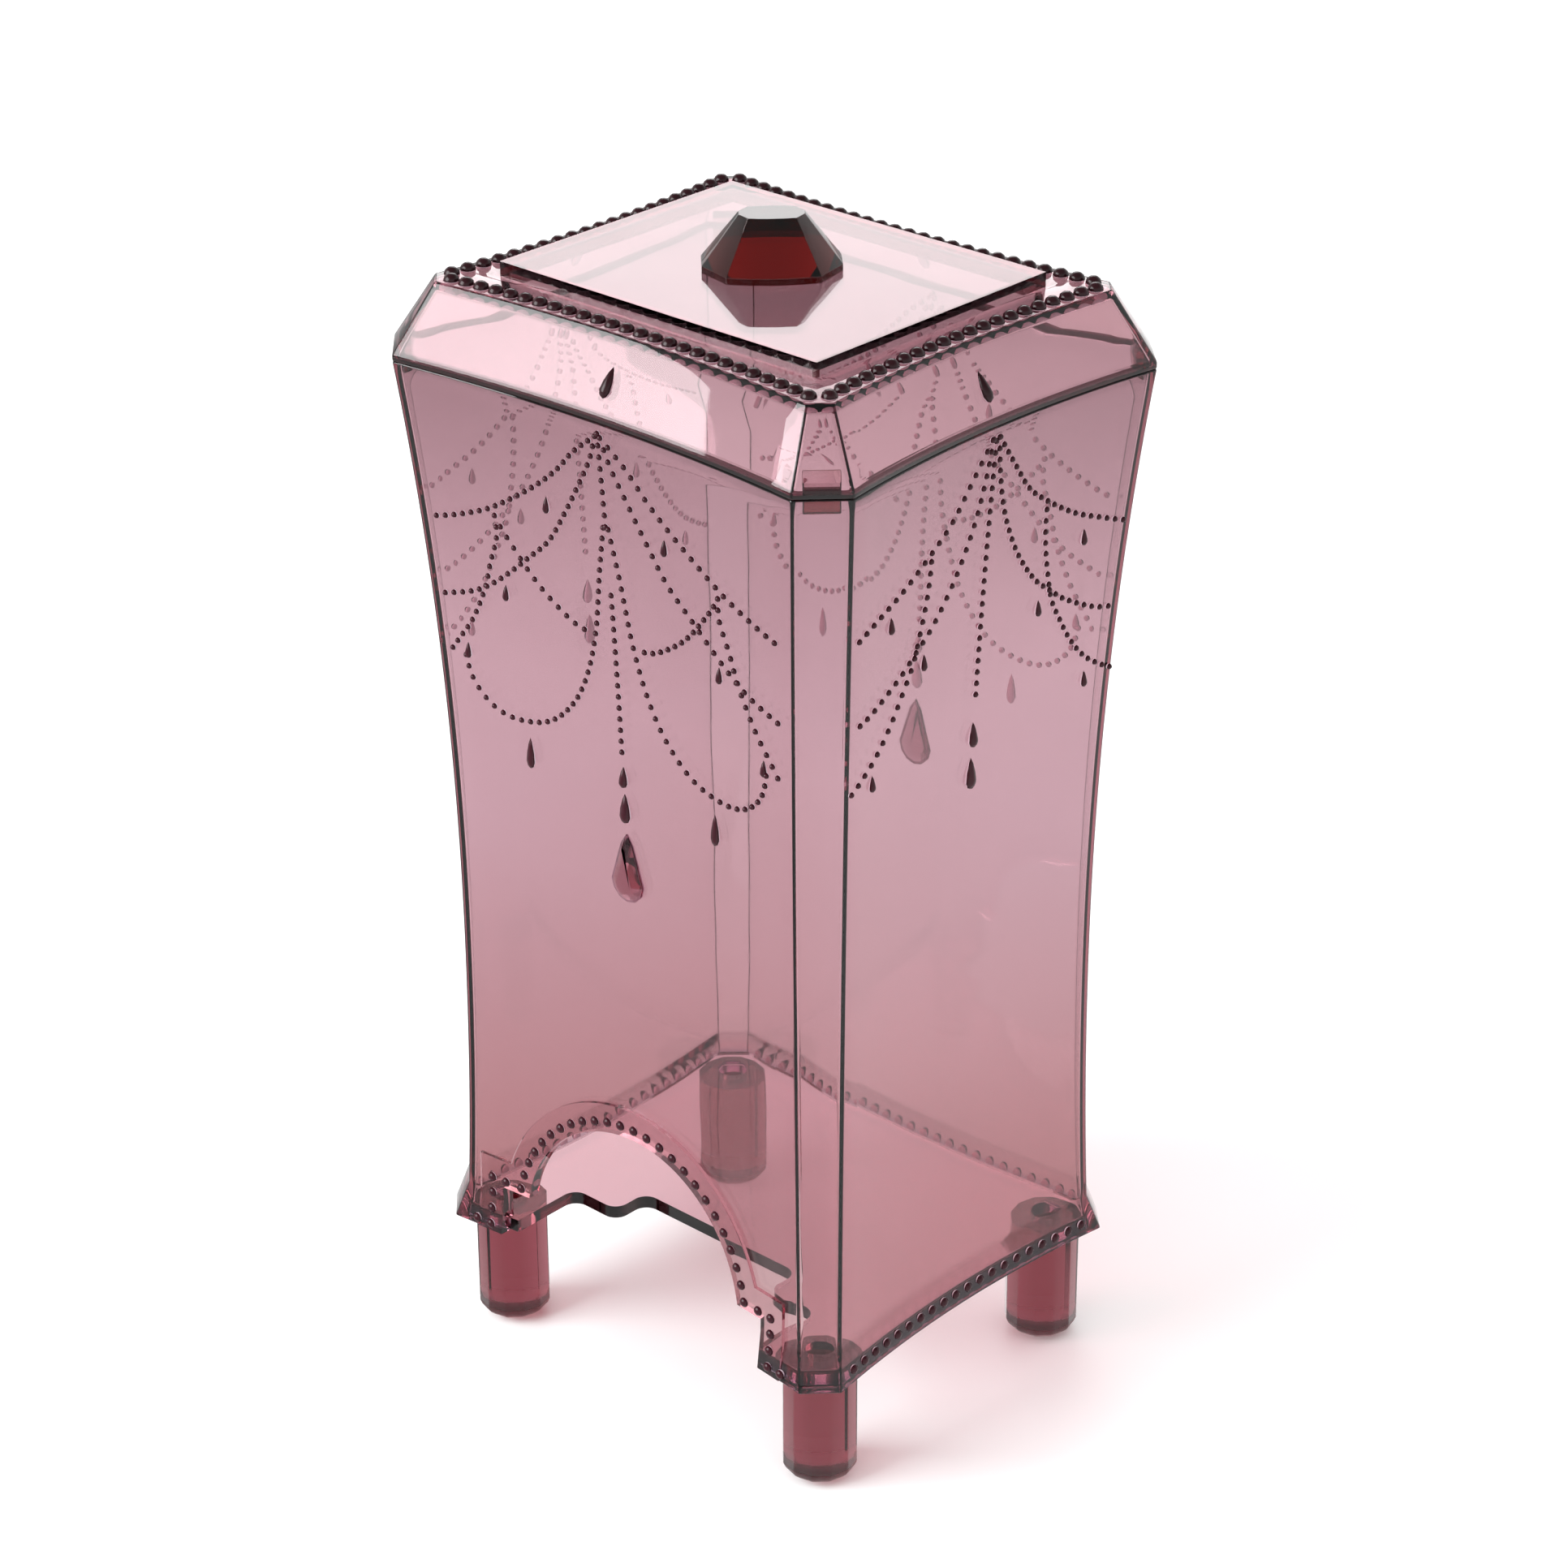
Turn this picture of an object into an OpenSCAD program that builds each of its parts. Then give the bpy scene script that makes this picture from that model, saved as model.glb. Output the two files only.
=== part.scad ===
// Cotton pad holder of clear tinted plastic: a waisted box with concave walls on four
// faceted legs, open in an arch at the front, under a lift-off mansard lid with a gem knob.
// The front, with the arch, faces -Y. The legs stand on z = 0.

/* [Body] */
// Outside width of the body at the corners of its top rim
rim_w = 88.4; // [84:0.2:100]
// Outside depth of the body at the corners of its top rim
rim_d = 76.1; // [73:0.2:90]
// Height of the body from the edge of its skirt to its top rim
body_h = 143.4; // [120:0.2:180]
// Height of the waist, where the walls are narrowest, above the edge of the skirt
waist_h = 40.4; // [34:0.2:60]
// How far each wall draws in from the rim to the waist
draw_in = 5.3; // [3:0.1:7]
// How far the middle of each wall stands back from the line between its corners at the rim
bow = 2.6; // [1.5:0.1:3.5]
// Wall thickness of the body
wall = 1.4; // [1.2:0.05:2]
// Width that the flat across each corner takes off a side, at the rim
corner_top = 5.9; // [5:0.1:8]
// Width that the flat across each corner takes off a side, above the skirt
corner_low = 4.5; // [3.6:0.1:6]

/* [Skirt and arch] */
// Height of the flared skirt round the foot of the walls
skirt_h = 6.1; // [5:0.1:8]
// How far the skirt flares out at its lower edge
skirt_flare = 1.4; // [0.8:0.1:2]
// Radius of the arch in the front wall
arch_r = 22.3; // [18:0.1:24]
// Height of the centre of the arch above the edge of the skirt
arch_z = 4.7; // [3:0.1:7]
// Half the width of the opening between the front legs of the skirt, under the arch
leg_gap = 27.2; // [25.5:0.1:28]
// Height of the shoulders where the arch widens, above the edge of the skirt
shoulder_h = 8.2; // [7:0.1:10]
// Width of the raised border round the arch
border_w = 4.7; // [4:0.1:5.5]
// How far the border stands out from the wall
border_proud = 0.7; // [0.4:0.05:1]

/* [Floor] */
// Thickness of the floor plate
floor_t = 2.1; // [1.6:0.1:3]
// Depth of the rebate in the skirt that the floor plate fits
rebate = 0.6; // [0.4:0.05:0.8]
// Half the width of the finger cut-out at the front of the floor
cut_half_w = 25.7; // [24:0.1:27]
// Distance from the middle of the holder to the wide part of the finger cut-out
cut_front = 19; // [17:0.1:22]
// Half the width of the deep part of the finger cut-out
cut_mid_half_w = 16.6; // [14:0.1:19]
// Distance from the middle of the holder to the deep part of the finger cut-out
cut_deep = 12.4; // [9:0.1:14]
// Radius of the rounded corners along the finger cut-out
cut_round = 2.3; // [1.5:0.1:3]

/* [Legs] */
// Height of the legs below the skirt
leg_h = 19.6; // [14:0.2:30]
// Radius of a leg to its corners
leg_r = 5.75; // [5:0.05:6.2]
// Number of flat sides on a leg
leg_sides = 12; // [8:1:12]
// Distance of the leg axes from the corners' side planes at the waist
leg_in_x = 6.1; // [6:0.1:9]
// Distance of the leg axes from the corners' front and back planes at the waist
leg_in_y = 6.6; // [6:0.1:9]
// Height of the rounded end of a leg
leg_tip = 2.3; // [1.5:0.1:3]
// Radius of the flat that a leg stands on
leg_foot_r = 3.4; // [2.5:0.1:4]
// Radius of the peg that holds a leg in the floor
peg_r = 2.4; // [2:0.1:3]

/* [Lid] */
// Height of the lid from its rim to its top edge
lid_h = 11.1; // [9:0.1:14]
// Height of the upright band at the rim of the lid
lid_band = 1.1; // [0.8:0.1:2]
// How far the slopes of the lid run in
lid_run = 6.1; // [4:0.1:7]
// Width that the flat across each corner takes off a side, at the top edge of the lid
lid_corner_top = 2.7; // [2:0.1:3.5]
// Wall thickness of the lid
lid_wall = 1.4; // [1.2:0.05:1.8]
// Thickness of the top of the lid
lid_top_t = 1.6; // [1.4:0.05:2]
// Height of the raised panel on the lid
panel_h = 2.2; // [1.2:0.1:3]
// Distance from the top edge of the lid to the raised panel
panel_margin = 7.9; // [7:0.1:12]
// Depth of the locating tabs below the rim of the lid
tab_depth = 2.5; // [2:0.1:4]
// Width of a locating tab
tab_w = 5.1; // [3.5:0.1:5.5]
// Thickness of a locating tab
tab_t = 1.2; // [1:0.1:1.6]

/* [Knob] */
// Length of the knob, which lies across a diagonal of the lid
knob_l = 19.9; // [16:0.1:22]
// Width of the knob over its two bowed sides
knob_w = 16.4; // [13:0.1:19]
// Radius of the curve that the bowed sides follow in plan
knob_curve = 26.6; // [18:0.2:60]
// Distance from the middle of the knob to its corner facets
knob_corner = 9.6; // [7.6:0.1:10]
// Angle between the length of the knob and the way its corner facets face
knob_turn = 33.4; // [25:0.2:45]
// How far the sloping facets of the knob run in
knob_run = 5.3; // [3:0.1:6]
// Height of the upright girdle of the knob
girdle_h = 1; // [0.6:0.1:3]
// Overall height of the knob
knob_h = 8; // [6:0.1:12]
// Radius of the spigot under the knob
spigot_r = 2.2; // [1.6:0.1:3]

/* [Beading] */
// Radius of a bead at its foot
bead_r = 1.05; // [0.8:0.05:1.2]
// Height of a bead
bead_h = 0.8; // [0.5:0.05:1]
// Beads along the front and the back of the lid
beads_front = 26; // [20:1:30]
// Beads along each side of the lid
beads_side = 21; // [16:1:24]
// Distance from the top edge of the lid to the beads
bead_inset = 2.1; // [1.6:0.1:3]

/* [Drops] */
// Width of the large drop in the middle of the front and the back
drop_w = 6.6; // [5:0.1:8]
// Length of the large drop
drop_l = 11.4; // [9:0.1:14]
// How far the large drop stands out from the wall
drop_rise = 1.2; // [0.8:0.1:2]
// Height of the middle of the large drop above the edge of the skirt
drop_z = 72.3; // [60:0.1:90]
// Length of the middle-sized drops, on the walls and on the lid
small_drop_l = 4.7; // [3:0.1:6]
// Width of the middle-sized drops
small_drop_w = 1.9; // [1.4:0.1:2.6]

/* [Fits] */
// Gap between each locating tab of the lid and the inside of the body
tab_gap = 0.35; // [0.3:0.05:0.5]
// Gap round the glued floor plate, the leg pegs and the knob spigot
glue_gap = 0.05; // [0.02:0.01:0.1]

/* [Hidden] */

// Tinted plastic, and the deeper tone of its thick pieces
clear_rose = [0.78, 0.58, 0.62, 0.55];
deep_rose = [0.5, 0.22, 0.24, 0.9];
gem_red = [0.38, 0.06, 0.05];

// Facets on the wide curves and on round pieces, and sides of a bead
wide_fn = 180;
round_fn = 28;
bead_sides = 8;
// How steeply the walls leave the waist
flare_power = 2.15;
// Levels at which the wall outline is set out
wall_steps = 8;
// Allowance by which a cutting solid runs past what it cuts
over = 1;
// Half the size of a block that holds the whole outline
block = 60;
// Depth by which reliefs start below the wall surface
sunk = 0.3;
// Rise of the drops up the lid slopes, as a share of the slope
lid_drop_rise = 0.42;
// Heights of the small drops above the large one and on the side walls
upper_drops = [83.0, 88.2];
side_drops = [89.7, 96.0];

skirt_z = leg_h;
rim_z = skirt_z + body_h;
waist_z = skirt_z + waist_h;
skirt_top = skirt_z + skirt_h;
floor_top = skirt_z + floor_t;
lid_slope_z = rim_z + lid_band;
lid_edge_z = rim_z + lid_h;
panel_z = lid_edge_z + panel_h;
arch_centre = skirt_z + arch_z;
shoulder_z = skirt_z + shoulder_h;
// Radii of the curves that the walls follow in plan
front_curve = (rim_w / 2 - corner_top) ^ 2 / (2 * bow) + bow / 2;
side_curve = (rim_d / 2 - corner_top) ^ 2 / (2 * bow) + bow / 2;
// Distances of the axes of those curves from the middle of the holder
front_axis = rim_d / 2 - bow + front_curve;
side_axis = rim_w / 2 - bow + side_curve;

// How far a wall has drawn in from the rim at height z
function draw(z) = draw_in * (1 - (abs(z - waist_z) / (rim_z - waist_z)) ^ flare_power);
// Corner flat of the body at height z
function corner_at(z) = corner_low + (corner_top - corner_low) * (z - skirt_z) / body_h;
// A level of an outline: height, half width, half depth and corner flat
function level(z, pull, corner) = [z, rim_w / 2 - pull, rim_d / 2 - pull, corner];
// Radius, about the axis beside a wall, at which the wall stands
function reach(axis, half, chord, curve) = axis - half + chord ^ 2 / (2 * curve);
function front_reach(l) = reach(front_axis, l[2], l[1] - l[3], front_curve);
function side_reach(l) = reach(side_axis, l[1], l[2] - l[3], side_curve);
// Surface of the front wall at x, as a distance from the middle, and of a side wall at y
function front_at(l, x) = front_axis - sqrt(front_reach(l) ^ 2 - x ^ 2);
function side_at(l, y) = side_axis - sqrt(side_reach(l) ^ 2 - y ^ 2);

function body_level(z, out = 0) = level(z, draw(z) - out, corner_at(z));
// Levels of the body, which run past it at both ends as every outline's levels do
wall_heights = [for (i = [0:wall_steps]) skirt_z - over + (body_h + 2 * over) * i / wall_steps];
body_levels = [for (z = wall_heights) body_level(z)];
// Levels of its corner flats, which change slope halfway between the levels of the walls
flat_heights = [for (i = [0:wall_steps - 1]) (wall_heights[i] + wall_heights[i + 1]) / 2];
flat_levels = [for (z = concat([skirt_z - over], flat_heights, [rim_z + over])) body_level(z)];
// Flare of the skirt at height z, and of the border round the arch
function flare_at(z) = skirt_flare * (skirt_top - z) / skirt_h;
function border_at(z) = border_proud + (skirt_flare - border_proud) * max(0, skirt_top - z) / skirt_h;
skirt_levels = [for (z = [skirt_z - over, skirt_top + over]) body_level(z, flare_at(z))];
border_top = arch_centre + arch_r + border_w;
border_levels = [for (z = [skirt_z - over, skirt_top, (skirt_top + border_top) / 2, border_top + over])
    body_level(z, border_at(z))];
lid_corner_low = corner_top;
// Level of the lid at a share of the way up its slopes
function lid_level(t) = level(lid_slope_z + (lid_edge_z - lid_slope_z) * t, lid_run * t,
    lid_corner_low + (lid_corner_top - lid_corner_low) * t);
lid_levels = [level(rim_z - 2 * over, 0, lid_corner_low), lid_level(0), lid_level(1.2)];
panel_half_w = rim_w / 2 - lid_run - panel_margin;
panel_half_d = rim_d / 2 - lid_run - panel_margin;
leg_x = rim_w / 2 - draw_in - leg_in_x;
leg_y = rim_d / 2 - draw_in - leg_in_y;

// Solid that turns about an upright axis and stands against the outside of a wall
module wall_cut(levels, reaches, inset) {
    last = len(levels) - 1;
    side = [for (i = [0:last]) [reaches[i] + inset, levels[i][0]]];
    rotate_extrude($fn = wide_fn)
        polygon(concat([[0, levels[0][0]]], side, [[0, levels[last][0]]]));
}

// Solid that takes off one corner, in the direction of +X and +Y
module corner_cut(levels, inset) {
    last = len(levels) - 1;
    side = [for (l = levels) [(l[1] + l[2] - l[3]) / sqrt(2) - inset, l[0]]];
    rotate([0, 0, 45])
        rotate([90, 0, 0])
            linear_extrude(height = block, center = true)
                polygon(concat([[2 * block, levels[0][0]]], side, [[2 * block, levels[last][0]]]));
}

// Solid from low to high within the four concave walls and the corner flats, moved in by
// inset; the levels of the walls and of the flats run past both ends
module waisted_form(levels, flats, low, high, inset = 0) {
    difference() {
        translate([-block, -block, low])
            cube([2 * block, 2 * block, high - low]);
        for (end = [0, 180])
            rotate([0, 0, end]) {
                translate([0, -front_axis, 0])
                    wall_cut(levels, [for (l = levels) front_reach(l)], inset);
                translate([side_axis, 0, 0])
                    wall_cut(levels, [for (l = levels) side_reach(l)], inset);
                corner_cut(flats, inset);
                mirror([1, 0, 0])
                    corner_cut(flats, inset);
            }
    }
}

// Outline of the opening in the front wall, seen from the front, larger by grow
module arch_outline(grow = 0) {
    low = skirt_z - 2 * over;
    translate([0, arch_centre])
        circle(r = arch_r + grow, $fn = 96);
    translate([-leg_gap - grow, low])
        square([2 * (leg_gap + grow), shoulder_z + grow - low]);
}

// Bead, a low stud that stands on z = 0
module bead() {
    translate([0, 0, -sunk])
        cylinder(r = bead_r, h = bead_h + sunk, $fn = bead_sides);
}

// Bead on the front wall at x and height z, out from the wall by out
module front_bead(x, z, out) {
    translate([x, -front_at(body_level(z, out), x), z])
        rotate([90, 0, 0])
            bead();
}

// Beads on the border of the arch: round the arch, over the shoulders and down the legs
module arch_beads() {
    row_r = arch_r + border_w * 0.37;
    pitch = 2.74;
    row_leg = leg_gap + border_w * 0.47;
    row_shoulder = shoulder_z + border_w * 0.25;
    reach_angle = acos((row_shoulder - arch_centre) / row_r);
    turns = round(2 * reach_angle * PI / 180 * row_r / pitch);
    for (i = [0:turns]) {
        a = -reach_angle + 2 * reach_angle * i / turns;
        z = arch_centre + row_r * cos(a);
        front_bead(row_r * sin(a), z, border_at(z));
    }
    for (side = [-1, 1]) {
        front_bead(side * (row_leg - pitch), row_shoulder, border_at(row_shoulder));
        for (z = [row_shoulder:-pitch:skirt_z + bead_r])
            front_bead(side * row_leg, z, border_at(z));
        front_bead(side * (row_leg + pitch), skirt_z + 1.25, border_at(skirt_z + 1.25));
    }
}

// Straight rows of beads along the skirt of the sides and the back
module skirt_beads() {
    z = skirt_z + 2;
    l = body_level(z, flare_at(z));
    half_x = rim_w / 2 - draw_in - corner_low - 1.6;
    half_y = rim_d / 2 - draw_in - corner_low - 1.6;
    for (i = [0:beads_front - 2]) {
        x = half_x * (2 * i / (beads_front - 2) - 1);
        translate([x, front_at(l, x), z])
            rotate([-90, 0, 0])
                bead();
    }
    for (i = [0:beads_side - 2], side = [-1, 1]) {
        y = half_y * (2 * i / (beads_side - 2) - 1);
        translate([side * side_at(l, y), y, z])
            rotate([0, side * 90, 0])
                bead();
    }
}

// Half-sunk drop on z = 0 with its point towards +Y
module drop(length, width) {
    r = width / 2;
    tail = length - r;
    lean = acos(r / tail);
    profile = [for (i = [0:5]) r * [cos(-90 + (90 + lean) * i / 5), sin(-90 + (90 + lean) * i / 5)]];
    translate([0, r - length / 2, 0])
        rotate([-90, 0, 0])
            rotate_extrude($fn = 13)
                polygon(concat(profile, [[0, tail]]));
}

// Drops down the middle of the walls; the large one ends inside the wall
module wall_drops() {
    big = body_level(skirt_z + drop_z);
    behind = drop_w / 2 - drop_rise;
    for (end = [0, 180])
        rotate([0, 0, end]) {
            translate([0, behind - front_at(big, 0), big[0]])
                rotate([90, 0, 0])
                    intersection() {
                        drop(drop_l, drop_w);
                        translate([-drop_w, -drop_l, behind - wall / 2])
                            cube([2 * drop_w, 2 * drop_l, drop_w]);
                    }
            for (h = upper_drops)
                translate([0, sunk / 2 - front_at(body_level(skirt_z + h), 0), skirt_z + h])
                    rotate([90, 0, 0])
                        drop(small_drop_l, small_drop_w);
            for (h = side_drops)
                translate([side_at(body_level(skirt_z + h), 0) - sunk / 2, 0, skirt_z + h])
                    rotate([0, 0, 90])
                        rotate([90, 0, 0])
                            drop(small_drop_l, small_drop_w);
        }
}

// Four walls in one moulding, waisted and concave, with corner flats, a flared skirt, the
// arch with its raised border, and a rebate for the floor
module body_shell() {
    color(clear_rose)
        union() {
            difference() {
                union() {
                    waisted_form(body_levels, flat_levels, skirt_z, rim_z);
                    waisted_form(skirt_levels, skirt_levels, skirt_z, skirt_top);
                    intersection() {
                        waisted_form(border_levels, border_levels, skirt_z, border_top);
                        rotate([90, 0, 0])
                            linear_extrude(height = block)
                                arch_outline(border_w);
                    }
                }
                waisted_form(body_levels, flat_levels, skirt_z - over / 2, rim_z + over / 2, wall);
                waisted_form(body_levels, flat_levels, skirt_z - over / 2, floor_top, wall - rebate);
                rotate([90, 0, 0])
                    linear_extrude(height = block)
                        arch_outline();
            }
            arch_beads();
            skirt_beads();
            wall_drops();
        }
}

// Outline of the finger cut-out in the front edge of the floor
module finger_cut() {
    translate([-cut_half_w, -block])
        square([2 * cut_half_w, block - cut_front - cut_round]);
    translate([cut_round - cut_half_w, -block])
        square([2 * (cut_half_w - cut_round), block - cut_front]);
    translate([-cut_mid_half_w, -block])
        square([2 * cut_mid_half_w, block - cut_deep - cut_round]);
    translate([cut_round - cut_mid_half_w, -block])
        square([2 * (cut_mid_half_w - cut_round), block - cut_deep]);
    for (side = [-1, 1]) {
        translate([side * (cut_half_w - cut_round), -cut_front - cut_round])
            circle(r = cut_round, $fn = round_fn);
        translate([side * (cut_mid_half_w - cut_round), -cut_deep - cut_round])
            circle(r = cut_round, $fn = round_fn);
        difference() {
            translate([side * (cut_mid_half_w + cut_round / 2), cut_round / 2 - cut_front])
                square(cut_round, center = true);
            translate([side * (cut_mid_half_w + cut_round), cut_round - cut_front])
                circle(r = cut_round, $fn = round_fn);
        }
    }
}

// Floor that the pads rest on, glued up into the rebate of the skirt
module floor_plate() {
    color(clear_rose)
        difference() {
            waisted_form(body_levels, flat_levels, skirt_z, floor_top, wall - rebate + glue_gap);
            translate([0, 0, skirt_z - over])
                linear_extrude(height = floor_t + 2 * over)
                    finger_cut();
            for (x = [-leg_x, leg_x], y = [-leg_y, leg_y])
                translate([x, y, skirt_z - over])
                    cylinder(r = peg_r + glue_gap, h = floor_t + 2 * over, $fn = round_fn);
        }
}

// Solid leg with flat sides and a rounded end, and the peg that it is glued in by
module leg(x, y) {
    color(deep_rose)
        translate([x, y, 0]) {
            intersection() {
                cylinder(r = leg_r, h = leg_h, $fn = leg_sides);
                rotate_extrude($fn = round_fn)
                    polygon([[0, 0], [leg_foot_r, 0],
                        [leg_foot_r + (leg_r - leg_foot_r) * 0.62, leg_tip * 0.3],
                        [leg_r + 0.02, leg_tip], [leg_r + over, leg_tip + over],
                        [leg_r + over, leg_h], [0, leg_h]]);
            }
            translate([0, 0, leg_h - over])
                cylinder(r = peg_r, h = floor_t + over, $fn = round_fn);
        }
}

// Rows of beads round the top edge of the lid
module lid_beads() {
    row = level(lid_edge_z, lid_run + bead_inset, lid_corner_top);
    half_x = row[1] - 1.9;
    half_y = row[2] - 1.9;
    for (i = [0:beads_front - 1], end = [-1, 1]) {
        x = half_x * (2 * i / (beads_front - 1) - 1);
        translate([x, end * front_at(row, x), lid_edge_z])
            bead();
    }
    for (i = [0:beads_side - 1], side = [-1, 1]) {
        y = half_y * (2 * i / (beads_side - 1) - 1);
        translate([side * side_at(row, y), y, lid_edge_z])
            bead();
    }
}

// Drops in the middle of the slopes of the lid
module lid_drops() {
    slope = atan2(lid_h - lid_band, lid_run);
    mid_z = lid_slope_z + (lid_h - lid_band) * lid_drop_rise;
    l = lid_level(lid_drop_rise);
    for (end = [0, 180])
        rotate([0, 0, end]) {
            translate([0, -front_at(l, 0), mid_z])
                rotate([slope, 0, 0])
                    drop(small_drop_l, small_drop_w);
            translate([side_at(l, 0), 0, mid_z])
                rotate([0, 0, 90])
                    rotate([slope, 0, 0])
                        drop(small_drop_l, small_drop_w);
        }
}

// Tab under a corner of the lid that keeps the lid in place on the body, towards +X and +Y
module corner_tab() {
    face = (rim_w / 2 + rim_d / 2 - corner_top) / sqrt(2) - wall - tab_gap;
    root = face - tab_t;
    rotate([0, 0, 45])
        translate([0, (rim_d - rim_w) / 2 / sqrt(2), 0])
            rotate([90, 0, 0])
                linear_extrude(height = tab_w, center = true)
                    polygon([[root, rim_z - tab_depth], [face, rim_z - tab_depth], [face, rim_z],
                        [face + tab_gap + wall / 2, rim_z],
                        [face + tab_gap + wall / 2, lid_slope_z],
                        [root, lid_slope_z + lid_wall]]);
}

// Lid moulding with sloping sides, a raised panel, beads, drops and locating tabs
module lid_shell() {
    under = lid_edge_z - lid_top_t;
    color(clear_rose)
        difference() {
            union() {
                difference() {
                    union() {
                        waisted_form(lid_levels, lid_levels, rim_z, lid_edge_z);
                        lid_drops();
                    }
                    waisted_form(lid_levels, lid_levels, rim_z - over, under, lid_wall);
                }
                translate([-panel_half_w, -panel_half_d, under])
                    cube([2 * panel_half_w, 2 * panel_half_d, panel_z - under]);
                lid_beads();
                for (end = [0, 180])
                    rotate([0, 0, end]) {
                        corner_tab();
                        mirror([1, 0, 0])
                            corner_tab();
                    }
            }
            translate([lid_wall - panel_half_w, lid_wall - panel_half_d, under - over])
                cube([2 * (panel_half_w - lid_wall), 2 * (panel_half_d - lid_wall),
                    panel_h + over]);
            translate([0, 0, under])
                cylinder(r = spigot_r + glue_gap, h = panel_h + lid_top_t + over, $fn = round_fn);
        }
}

// Upright profile of the knob out to half, with its sloping facet
module knob_profile(half) {
    polygon([[0, 0], [half, 0], [half, girdle_h], [half - knob_run, knob_h], [0, knob_h]]);
}

// Prism along Y between two like facets that lie half away from the middle
module facet_pair(half) {
    rotate([90, 0, 0])
        linear_extrude(height = 2 * knob_l, center = true) {
            knob_profile(half);
            mirror([1, 0])
                knob_profile(half);
        }
}

// Bowed side of the knob that faces +Y, with its sloping facet
module bowed_side() {
    translate([0, knob_w / 2 - knob_curve, 0])
        rotate_extrude($fn = wide_fn)
            knob_profile(knob_curve);
}

// Knob cut like a gem, with flat ends and corners and bowed sides, on a spigot glued into
// the lid
module gem_knob() {
    color(gem_red)
        translate([0, 0, panel_z]) {
            rotate([0, 0, 45])
                intersection() {
                    facet_pair(knob_l / 2);
                    bowed_side();
                    rotate([0, 0, 180])
                        bowed_side();
                    rotate([0, 0, knob_turn])
                        facet_pair(knob_corner);
                    rotate([0, 0, -knob_turn])
                        facet_pair(knob_corner);
                }
            translate([0, 0, -lid_top_t])
                cylinder(r = spigot_r, h = lid_top_t + over / 2, $fn = round_fn);
        }
}

body_shell();
floor_plate();
leg(-leg_x, -leg_y);  // front_left_leg
leg(leg_x, -leg_y);  // front_right_leg
leg(-leg_x, leg_y);  // rear_left_leg
leg(leg_x, leg_y);  // rear_right_leg
lid_shell();
gem_knob();
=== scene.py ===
import math

import bmesh
import bpy
from mathutils import Matrix, Vector
from mathutils.geometry import interpolate_bezier


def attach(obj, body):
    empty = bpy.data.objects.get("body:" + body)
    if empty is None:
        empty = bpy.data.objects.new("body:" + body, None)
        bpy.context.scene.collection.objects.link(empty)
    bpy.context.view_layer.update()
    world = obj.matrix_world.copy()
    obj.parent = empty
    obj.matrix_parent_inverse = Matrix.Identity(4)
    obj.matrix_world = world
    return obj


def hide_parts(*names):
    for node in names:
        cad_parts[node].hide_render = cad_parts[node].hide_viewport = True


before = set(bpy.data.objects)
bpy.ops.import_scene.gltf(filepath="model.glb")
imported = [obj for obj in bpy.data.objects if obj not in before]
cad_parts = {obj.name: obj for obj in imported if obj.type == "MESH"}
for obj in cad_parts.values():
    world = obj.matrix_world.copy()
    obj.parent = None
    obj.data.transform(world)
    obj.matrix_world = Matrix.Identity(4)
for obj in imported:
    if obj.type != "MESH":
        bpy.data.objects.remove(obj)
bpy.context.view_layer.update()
scene = bpy.context.scene

# Body walls
# One moulding of clear rose plastic: four concave walls that draw in to a waist, a flat across
# each corner, a flared skirt, and an arch with a raised border at the front. Sizes are in mm.

# Half sizes at the rim, and the corner flat there and at the skirt
HALF_WIDTH, HALF_DEPTH = 44.2, 38.05
RIM_CORNER, SKIRT_CORNER = 5.9, 4.5
# How far each wall bows in, and the radius and axis of the arcs that this gives
BOW = 2.6
FRONT_CURVE = (HALF_WIDTH - RIM_CORNER) ** 2 / (2 * BOW) + BOW / 2
SIDE_CURVE = (HALF_DEPTH - RIM_CORNER) ** 2 / (2 * BOW) + BOW / 2
FRONT_AXIS = HALF_DEPTH - BOW + FRONT_CURVE
SIDE_AXIS = HALF_WIDTH - BOW + SIDE_CURVE
# Heights of the lower edge, the floor, the top of the skirt and the rim
SKIRT, FLOOR_TOP, SKIRT_TOP, RIM = 19.6, 21.7, 25.7, 163.0
# Height of the waist, how far it draws in, and the power of its curve
WAIST, WAIST_PULL, WAIST_POWER = 60, 5.3, 2.15
# Thickness of the walls, and beside the floor plate
WALL, SKIRT_WALL = 1.4, 0.8
# How far the skirt flares, and the arch: axis and radius of its round, half width and height of
# its stepped feet, and the width, height and top of its raised border
FLARE = 1.4
ARCH_AXIS, ARCH_RADIUS = 24.3, 22.3
STEP_HALF, STEP_TOP = 27.2, 27.8
BORDER_WIDTH, BORDER_RISE, BORDER_TOP = 4.7, 0.7, 54.7


def wall_level(z, out=0.0, inset=0.0):
    """Outline of the body at height z: height, half width, half depth, corner flat, inset."""
    pull = WAIST_PULL * (1 - (abs(z - WAIST) / (RIM - WAIST)) ** WAIST_POWER) - out
    corner = SKIRT_CORNER + (RIM_CORNER - SKIRT_CORNER) * (z - SKIRT) / (RIM - SKIRT)
    return z, HALF_WIDTH - pull, HALF_DEPTH - pull, corner, inset


def flare(z):
    """How far the skirt stands out at height z."""
    return FLARE * max(0.0, SKIRT_TOP - z) / (SKIRT_TOP - SKIRT)


def front_at(level, x):
    """Distance from the middle to the front wall at x."""
    z, half_x, half_y, corner, inset = level
    radius = FRONT_AXIS - half_y + (half_x - corner) ** 2 / (2 * FRONT_CURVE) + inset
    return FRONT_AXIS - math.sqrt(radius ** 2 - x ** 2)


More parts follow.
